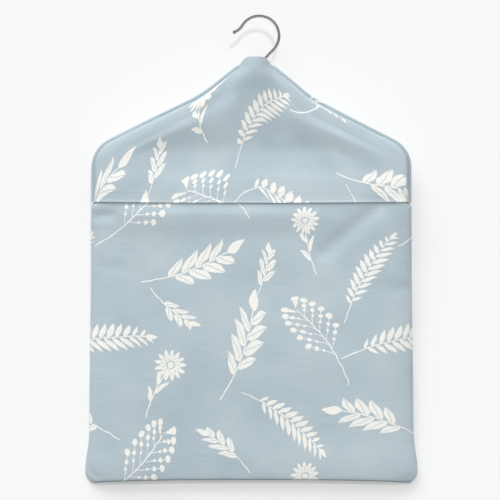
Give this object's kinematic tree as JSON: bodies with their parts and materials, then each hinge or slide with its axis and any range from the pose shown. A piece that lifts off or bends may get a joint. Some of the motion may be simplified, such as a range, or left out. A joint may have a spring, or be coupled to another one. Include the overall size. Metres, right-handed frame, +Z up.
{
  "type": "peg bag",
  "caption": "Flat cotton peg bag worn over a small wooden hanger with a swivelling wire hook, with an overlapping mouth across the front.",
  "frame": {"origin": "inside of the hook's crown, where a line or a rail carries the bag", "axes": "+Z up, -Y out of the front of the bag, +X to the right seen from the front; the hook's plane is the XZ plane"},
  "size_m": [0.3416, 0.0297, 0.4827],
  "materials": {
    "cloth": "printed cotton, plain weave, matt",
    "cloth_reverse": "reverse of the printed cotton",
    "piping": "bias strip of the same cotton over a cord",
    "filler_cord": "undyed twisted cotton",
    "beech": "sanded and clear lacquered",
    "steel_wire": "nickel plated drawn wire"
  },
  "bodies": {
    "bag": {"front_yoke": "cloth", "front_pocket": "cloth", "pocket_hem": "cloth_reverse", "back_panel": "cloth", "piping_left": "piping", "piping_right": "piping", "piping_cord_left": "filler_cord", "piping_cord_right": "filler_cord", "side_seam_left": "cloth_reverse", "side_seam_right": "cloth_reverse", "bottom_seam": "cloth_reverse", "hanger": "beech", "hook_washer": "steel_wire"},
    "flap": {"yoke_flap": "cloth", "yoke_hem": "cloth_reverse"},
    "hook": {"hook": "steel_wire"}
  },
  "joints": [
    {"name": "hook_swivel", "type": "hinge", "parent": "bag", "child": "hook", "pos_m": [-0.0033, 0, -0.08], "axis": [0, 0, 1], "continuous": true},
    {"name": "mouth_open", "type": "hinge", "parent": "bag", "child": "flap", "pos_m": [-0.008, -0.0108, -0.1415], "axis": [-1, 0, 0], "range_deg": [0, 40]}
  ]
}
